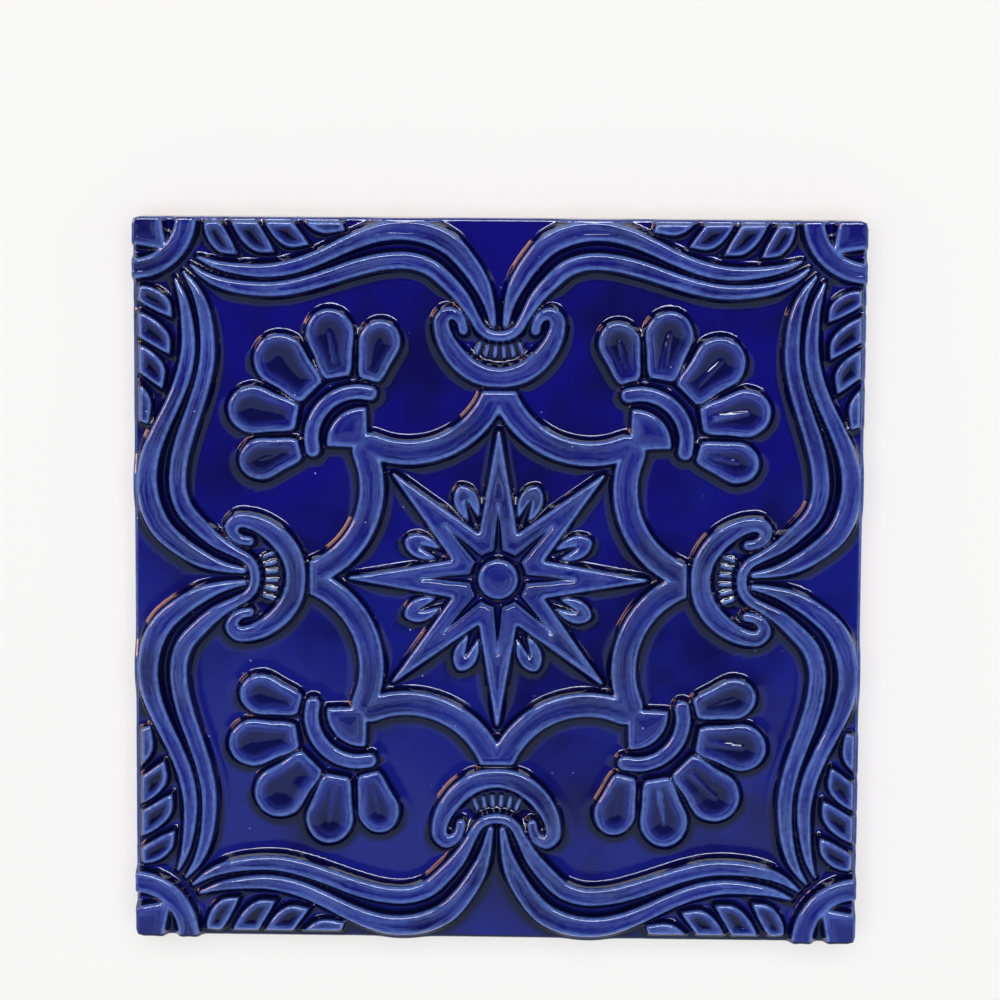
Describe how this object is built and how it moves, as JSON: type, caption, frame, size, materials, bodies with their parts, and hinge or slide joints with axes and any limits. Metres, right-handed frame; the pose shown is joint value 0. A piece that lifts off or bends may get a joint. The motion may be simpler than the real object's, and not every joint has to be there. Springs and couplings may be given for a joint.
{
  "type": "relief wall tile",
  "caption": "Square wall tile in cobalt blue glaze, with a raised star, palmettes, scrolls and S-shaped bands on its face and a flat back.",
  "frame": {"origin": "centre of the flat back, on the surface that the tile lies on", "axes": "+Z out of the back through the relief face; X and Y along the tile's sides, with +Y towards the edge that is at the top of the picture"},
  "size_m": [0.14, 0.14, 0.0108],
  "materials": {
    "cobalt_glaze": "gloss"
  },
  "bodies": {
    "root": {"relief_tile": "cobalt_glaze"}
  },
  "joints": []
}
